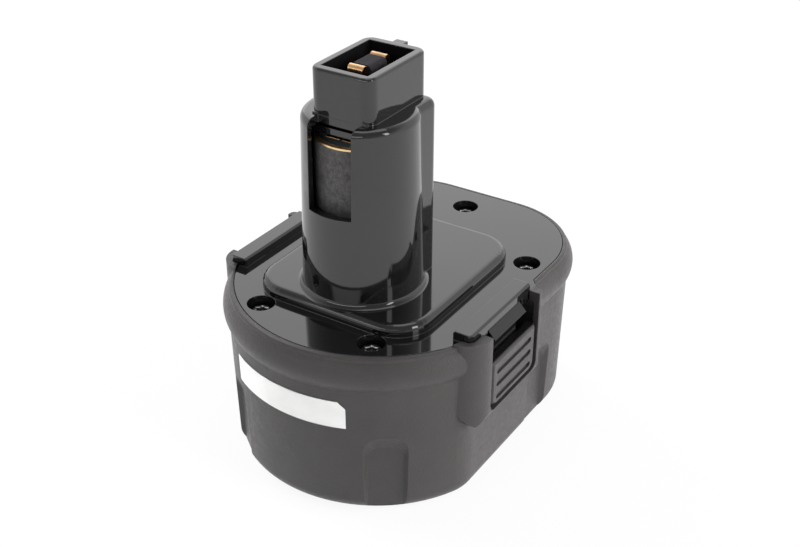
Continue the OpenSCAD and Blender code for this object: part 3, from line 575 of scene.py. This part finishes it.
def finish_piece(name, mesh, material, body, replaced):
    """Turns a mesh into a piece that rides a body and stands for CAD nodes."""
    for face in mesh.polygons:
        face.use_smooth = True
    mesh.materials.append(material)
    piece = bpy.data.objects.new(name, mesh)
    bpy.context.scene.collection.objects.link(piece)
    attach(piece, body)
    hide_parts(*replaced)
    return piece


def full_turn(count):
    """Angles of one full turn."""
    return [2 * math.pi * k / count for k in range(count)]


def mesh_of_rings(name, rings):
    """A closed skin over rings of equal length, with a flat cap at each end."""
    shape = bmesh.new()
    rows = [[shape.verts.new(point) for point in ring] for ring in rings]
    count = len(rows[0])
    for low, high in zip(rows, rows[1:]):
        for k in range(count):
            after = (k + 1) % count
            shape.faces.new((low[k], low[after], high[after], high[k]))
    for row, flip in ((rows[0], True), (rows[-1], False)):
        middle = shape.verts.new(sum((v.co for v in row), Vector()) / count)
        for k in range(count):
            here, after = row[k], row[(k + 1) % count]
            shape.faces.new((after, here, middle) if flip else (here, after, middle))
    bmesh.ops.recalc_face_normals(shape, faces=shape.faces)
    mesh = bpy.data.meshes.new(name)
    shape.to_mesh(mesh)
    shape.free()
    return mesh


class PACK_OT_case(Operator):
    """Gives the tub its moulded grain"""

    bl_idname = "pack.case"
    bl_label = "Tub"

    def execute(self, context):
        """Finishes the tub."""
        finish, sizes = context.scene.pack_finish, context.scene.pack_sizes
        plastic = moulded_grain("tub_plastic", finish.tub, sizes.grain, sizes.edge)
        dress(["lower_case"], plastic)
        return {"FINISHED"}


class PACK_OT_cover(Operator):
    """Polishes the lid, stem, tower and terminal block"""

    bl_idname = "pack.cover"
    bl_label = "Cover"

    def execute(self, context):
        """Finishes the cover and the block under the tower."""
        finish, sizes = context.scene.pack_finish, context.scene.pack_sizes
        plastic = polished_black("cover_plastic", finish.cover, sizes.edge)
        dress(["top_cover", "terminal_block"], plastic)
        return {"FINISHED"}


class PACK_OT_contacts(Operator):
    """Finishes the contacts, the tab and the fibre spacer"""

    bl_idname = "pack.contacts"
    bl_label = "Contacts"

    def execute(self, context):
        """Finishes what is seen in the tower, and the tab under it."""
        finish, sizes = context.scene.pack_finish, context.scene.pack_sizes
        copper = rolled_metal(
            "copper_strip", finish.copper, ALONG_X, 0.20, 0.36, sizes.metal_edge
        )
        dress(["positive_contact", "negative_contact", "stem_tab"], copper)
        spacer = pressed_fibre(
            "spacer_fibre", finish.spacer, 0.8 * MM, 0.12 * MM, darkest=0.5, lightest=2.2
        )
        dress(["fibre_spacer"], spacer)
        return {"FINISHED"}


class PACK_OT_stem_core(Operator):
    """Finishes the sleeve and the ring of the stem cell"""

    bl_idname = "pack.stem_core"
    bl_label = "Stem core"

    def execute(self, context):
        """Finishes what is seen in the stem window."""
        finish, sizes = context.scene.pack_finish, context.scene.pack_sizes
        dress(["stem_sleeve"], wound_paper("sleeve_paper", finish.sleeve))
        brass = rolled_metal("ring_brass", finish.ring, ALONG_Z, 0.26, 0.42, sizes.metal_edge)
        dress(["stem_ring"], brass)
        return {"FINISHED"}


class PACK_OT_cells(Operator):
    """Finishes the cells, links, cards, leads and thermal cut-out"""

    bl_idname = "pack.cells"
    bl_label = "Cells"

    def execute(self, context):
        """Finishes what the tub and the stem hold."""
        finish, sizes = context.scene.pack_finish, context.scene.pack_sizes
        dress(BASE_CELLS + ["stem_cell"], shrink_wrap("cell_wrap", finish.wrap, sizes.can_edge))
        nickel = rolled_metal(
            "nickel_strip", finish.nickel, ALONG_Y, 0.24, 0.42, sizes.metal_edge
        )
        dress(LINKS + ["stem_lead", "negative_lead"], nickel)
        card = pressed_fibre(
            "card_board", finish.card, 0.5 * MM, 0.05 * MM, darkest=0.85, lightest=1.1
        )
        dress(["top_card", "low_card"], card)
        ceramic = glazed_ceramic("cutout_ceramic", finish.ceramic, sizes.can_edge)
        dress(["thermal_cutout"], ceramic)
        return {"FINISHED"}


class PACK_OT_buttons(Operator):
    """Gives both release buttons the tub's grain and smooth catches"""

    bl_idname = "pack.buttons"
    bl_label = "Release buttons"

    def execute(self, context):
        """Finishes the buttons and their catches."""
        finish, sizes = context.scene.pack_finish, context.scene.pack_sizes
        grip_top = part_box("right_button")[1].z - sizes.catch_rise
        plastic = moulded_grain(
            "button_plastic", finish.tub, 0.8 * sizes.grain, sizes.edge, smooth_from=grip_top
        )
        dress([f"{side}_button" for side in SIDES], plastic)
        return {"FINISHED"}


class PACK_OT_springs(Operator):
    """Winds the latch springs"""

    bl_idname = "pack.springs"
    bl_label = "Latch springs"

    def execute(self, context):
        """Winds one round wire for each side, each with a mesh of its own."""
        finish, sizes = context.scene.pack_finish, context.scene.pack_sizes
        steel = rolled_metal(
            "spring_wire", finish.spring, ALL_WAYS, 0.20, 0.34, 0.5 * sizes.metal_edge
        )
        for side in SIDES:
            node = f"{side}_spring"
            name = f"{side}_latch_spring"
            low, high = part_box(node)
            mesh = self.wind(name, low, high, sizes.wire, sizes.turns)
            piece = finish_piece(name, mesh, steel, "pack", [node])
            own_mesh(piece)
        return {"FINISHED"}

    @staticmethod
    def wind(name, low, high, wire, turns):
        """Round wire wound about X between two corners of a box."""
        middle = (low + high) / 2
        radius = (high.y - low.y - wire) / 2
        run = high.x - low.x - wire
        slope = math.atan2(run / turns, 2 * math.pi * radius)
        steps = turns * POINTS_PER_TURN
        rings = []
        for step in range(steps + 1):
            angle = 2 * math.pi * step / POINTS_PER_TURN
            out = Vector((0, math.cos(angle), math.sin(angle)))
            round_axis = Vector((0, -math.sin(angle), math.cos(angle)))
            along = Vector((math.sin(slope), 0, 0)) + math.cos(slope) * round_axis
            up = out.cross(along)
            place = Vector((low.x + wire / 2 + run * step / steps, middle.y, middle.z))
            centre = place + radius * out
            rings.append(
                [
                    centre + wire / 2 * (math.cos(a) * out + math.sin(a) * up)
                    for a in full_turn(POINTS_ROUND_WIRE)
                ]
            )
        return mesh_of_rings(name, rings)


class PACK_OT_screws(Operator):
    """Turns the case screws with their six lobed recesses"""

    bl_idname = "pack.screws"
    bl_label = "Case screws"

    def execute(self, context):
        """Makes one screw for each well."""
        finish, sizes = context.scene.pack_finish, context.scene.pack_sizes
        steel = blackened_steel("screw_steel", finish.screw, finish.worn, sizes.metal_edge)
        for n in SCREW_NUMBERS:
            node = f"screw_{n}"
            name = f"case_screw_{n}"
            low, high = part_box(node)
            finish_piece(
                name, self.turn(name, low, high, sizes), steel, "pack", [node]
            )
        return {"FINISHED"}

    @classmethod
    def turn(cls, name, low, high, sizes):
        """Crowned head on a shank, with a lobed recess sunk into the head."""
        middle = (low + high) / 2
        angles = full_turn(POINTS_ROUND_SCREW)
        rings = [
            [
                Vector((middle.x + radius * math.cos(t), middle.y + radius * math.sin(t), z))
                for t in angles
            ]
            for radius, z in cls.profile(low, high, sizes)
        ]
        plain = len(rings)
        for share, depth in RECESS_RINGS:
            ring = []
            for t in angles:
                radius = share * cls.lobe(sizes.recess, t)
                x, y = middle.x + radius * math.cos(t), middle.y + radius * math.sin(t)
                ring.append(Vector((x, y, high.z - depth)))
            rings.append(ring)
        mesh = mesh_of_rings(name, rings)
        wear = mesh.attributes.new("wear", "FLOAT", "POINT")
        first, after = plain + WORN_FIRST, plain + WORN_LAST + 1
        for k in range(POINTS_ROUND_SCREW * first, POINTS_ROUND_SCREW * after):
            wear.data[k].value = 1.0
        return mesh

    @staticmethod
    def profile(low, high, sizes):
        """Radius and height of each plain ring, from the tip to the crown of the head."""
        head = (high.x - low.x) / 2
        seat = high.z - sizes.head
        rim = seat + RIM_RISE
        points = [
            (TIP_RADIUS, low.z),
            (sizes.shank, low.z + TIP_LENGTH),
            (sizes.shank, seat - NECK_DROP),
            (sizes.shank + NECK_FILLET, seat),
            (head - RIM_CHAMFER, seat),
            (head, seat + RIM_CHAMFER),
            (head, rim),
        ]
        for degrees in CROWN_ANGLES:
            angle = math.radians(degrees)
            inwards = CROWN_REACH * (1 - math.cos(angle))
            points.append((head - inwards, rim + CROWN_RISE * math.sin(angle)))
        return points

    @staticmethod
    def lobe(radius, angle):
        """Radius of the lobed outline at an angle."""
        return radius * (1 + LOBE_SHARE * math.cos(LOBES * angle))


class PACK_OT_foam_seat(Operator):
    """Cuts the foam seat under the stem cell"""

    bl_idname = "pack.foam_seat"
    bl_label = "Foam seat"

    def execute(self, context):
        """Makes a crowned foam disc with a slot for the rising strip."""
        low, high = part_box("stem_seat")
        lead_low, lead_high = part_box("stem_lead")
        radius = (high.x - low.x) / 2
        height = high.z - low.z
        axis_x, axis_y = (low.x + high.x) / 2, low.y + radius
        half = lead_high.x - axis_x + LEAD_SIDE_GAP
        # The strip rises as far behind the axis as its pad reaches in front of it.
        slot = axis_y - lead_low.y - LEAD_FRONT_GAP
        outline = self.outline(radius, half, slot)
        rings = []
        for rise, share in FOAM_RINGS:
            z = low.z + rise * height
            rings.append([Vector((axis_x + x * share, axis_y + y * share, z)) for x, y in outline])
        mesh = mesh_of_rings("foam_seat", rings)
        foam = open_foam("seat_foam", context.scene.pack_finish.foam)
        piece = finish_piece("foam_seat", mesh, foam, "pack", ["stem_seat"])
        return {"FINISHED"}

    @staticmethod
    def outline(radius, half, slot):
        """Circle with a square notch towards +Y."""
        edge = math.asin(half / radius)
        start = math.pi / 2 + edge
        sweep = 2 * math.pi - 2 * edge
        angles = [start + sweep * k / POINTS_ROUND_FOAM for k in range(POINTS_ROUND_FOAM + 1)]
        points = [(radius * math.cos(a), radius * math.sin(a)) for a in angles]
        rim = points[-1][1]
        down = [k / NOTCH_SIDE_STEPS for k in range(1, NOTCH_SIDE_STEPS + 1)]
        across = [k / NOTCH_FLOOR_STEPS for k in range(1, NOTCH_FLOOR_STEPS + 1)]
        points += [(half, rim + (slot - rim) * share) for share in down]
        points += [(half - 2 * half * share, slot) for share in across]
        points += [(-half, slot + (rim - slot) * share) for share in down[:-1]]
        return points


class PACK_OT_label(Operator):
    """Finishes the blank label"""

    bl_idname = "pack.label"
    bl_label = "Label"

    def execute(self, context):
        """Finishes the label."""
        dress(["label"], coated_paper("label_paper", context.scene.pack_finish.label))
        return {"FINISHED"}


class PACK_OT_stage(Operator):
    """Sets the floor, lamps, world and camera"""

    bl_idname = "pack.stage"
    bl_label = "Studio"

    def execute(self, context):
        """Builds the studio."""
        stage = context.scene.pack_stage
        context.scene.view_settings.view_transform = "Standard"
        self.lay_floor(context.scene, stage)
        self.light_world(context.scene, stage)
        self.hang_lamps(context.scene)
        self.set_camera(context.scene, stage)
        return {"FINISHED"}

    @staticmethod
    def seen(tree):
        """Value 1 for rays that see the background: camera, glossy and transmission rays."""
        path = add_node(tree, "ShaderNodeLightPath").outputs
        first = combine(tree, "MAXIMUM", path["Is Camera Ray"], path["Is Glossy Ray"])
        return combine(tree, "MAXIMUM", first, path["Is Transmission Ray"])

    @staticmethod
    def open_front(tree):
        """Strength of the white tent: 1 to the camera and all round, less in its opening."""
        towards = add_node(tree, "ShaderNodeTexCoord").outputs["Generated"]
        near = dot(tree, towards, OPENING_TOWARDS)
        dimmed = spread(
            tree, near, low=1.0, high=OPENING_STRENGTH, start=OPENING_STARTS, stop=OPENING_FULL
        )
        camera = add_node(tree, "ShaderNodeLightPath").outputs["Is Camera Ray"]
        return combine(tree, "MAXIMUM", dimmed, camera)

    def lay_floor(self, scene, stage):
        """White floor that keeps a soft shadow."""
        shape = bmesh.new()
        bmesh.ops.create_grid(shape, x_segments=8, y_segments=8, size=FLOOR_HALF_SIDE)
        mesh = bpy.data.meshes.new("studio_floor")
        shape.to_mesh(mesh)
        shape.free()
        floor = bpy.data.objects.new("studio_floor", mesh)
        floor.location = (0, 0, -FLOOR_DROP)
        scene.collection.objects.link(floor)
        material = bpy.data.materials.new("floor_white")
        material.use_nodes = True
        tree = material.node_tree
        tree.nodes.clear()
        matt = add_node(tree, "ShaderNodeBsdfDiffuse", {"Color": rgba(stage.floor)})
        glow = add_node(tree, "ShaderNodeEmission", {"Color": WHITE, "Strength": 1.0})
        share = combine(tree, "MULTIPLY", self.seen(tree), FLOOR_GLOW)
        both = add_node(
            tree,
            "ShaderNodeMixShader",
            {0: share, 1: matt.outputs["BSDF"], 2: glow.outputs["Emission"]},
        )
        add_node(tree, "ShaderNodeOutputMaterial", {"Surface": both.outputs["Shader"]})
        mesh.materials.append(material)

    def light_world(self, scene, stage):
        """White world for what sees it, dimmer ambient light for the rest."""
        world = bpy.data.worlds.new("studio_world")
        world.use_nodes = True
        scene.world = world
        tree = world.node_tree
        tree.nodes.clear()
        dim = add_node(tree, "ShaderNodeBackground", {"Color": WHITE, "Strength": stage.ambient})
        tent = {"Color": WHITE, "Strength": self.open_front(tree)}
        white = add_node(tree, "ShaderNodeBackground", tent)
        both = add_node(
            tree,
            "ShaderNodeMixShader",
            {0: self.seen(tree), 1: dim.outputs["Background"], 2: white.outputs["Background"]},
        )
        add_node(tree, "ShaderNodeOutputWorld", {"Surface": both.outputs["Shader"]})

    @staticmethod
    def hang_lamps(scene):
        """Soft panels behind, to both sides and above, and strips in front and to the right.

        The side panels leave no mirror image, so the lid stays dark from every side.
        """
        for name, place, wide, high, power, mirrored in LAMPS:
            lamp = bpy.data.lights.new(name, "AREA")
            lamp.shape = "RECTANGLE"
            lamp.size, lamp.size_y, lamp.energy = wide, high, power
            holder = bpy.data.objects.new(name, lamp)
            holder.location = place
            away = Vector(place) - Vector(LAMP_AIM)
            holder.rotation_euler = away.to_track_quat("Z", "Y").to_euler()
            holder.visible_camera = False
            holder.visible_glossy = mirrored
            scene.collection.objects.link(holder)

    @staticmethod
    def set_camera(scene, stage):
        """Camera at the viewing angle of the photograph."""
        data = bpy.data.cameras.new("photo_camera")
        data.sensor_width = SENSOR_MM
        data.lens = stage.lens
        data.clip_start, data.clip_end = CLIP_NEAR, CLIP_FAR
        camera = bpy.data.objects.new("photo_camera", data)
        camera.location = stage.camera_place
        a, e = stage.azimuth, stage.elevation
        back = Vector((math.sin(a) * math.cos(e), -math.cos(a) * math.cos(e), math.sin(e)))
        camera.rotation_euler = (-back).to_track_quat("-Z", "Y").to_euler()
        scene.collection.objects.link(camera)
        scene.camera = camera


class PACK_PT_sidebar(Panel):
    """Lists the sizes, colours and steps of the pack"""

    bl_idname = "PACK_PT_sidebar"
    bl_label = "Battery pack"
    bl_space_type = "VIEW_3D"
    bl_region_type = "UI"
    bl_category = "Pack"

    def draw(self, context):
        """Draws the values and the buttons."""
        for key, kind in GROUPS.items():
            box = self.layout.box()
            for value in kind.__annotations__:
                box.prop(getattr(context.scene, key), value)
        for step in STEPS:
            self.layout.operator(step.bl_idname)


GROUPS = {"pack_finish": PackFinish, "pack_sizes": PackSizes, "pack_stage": PackStage}
STEPS = (
    PACK_OT_stage,
    PACK_OT_case,
    PACK_OT_cover,
    PACK_OT_contacts,
    PACK_OT_stem_core,
    PACK_OT_cells,
    PACK_OT_buttons,
    PACK_OT_springs,
    PACK_OT_screws,
    PACK_OT_foam_seat,
    PACK_OT_label,
)


def register():
    """Registers the groups, steps and panel."""
    for key, group in GROUPS.items():
        bpy.utils.register_class(group)
        setattr(bpy.types.Scene, key, PointerProperty(type=group))
    for step in STEPS:
        bpy.utils.register_class(step)
    bpy.utils.register_class(PACK_PT_sidebar)


def unregister():
    """Takes the groups, steps and panel out again."""
    bpy.utils.unregister_class(PACK_PT_sidebar)
    for step in reversed(STEPS):
        bpy.utils.unregister_class(step)
    for key, group in GROUPS.items():
        delattr(bpy.types.Scene, key)
        bpy.utils.unregister_class(group)


def main():
    """Runs every step."""
    register()
    bpy.ops.pack.stage()
    bpy.ops.pack.case()
    bpy.ops.pack.cover()
    bpy.ops.pack.contacts()
    bpy.ops.pack.stem_core()
    bpy.ops.pack.cells()
    bpy.ops.pack.buttons()
    bpy.ops.pack.springs()
    bpy.ops.pack.screws()
    bpy.ops.pack.foam_seat()
    bpy.ops.pack.label()


if __name__ == "__main__":
    main()
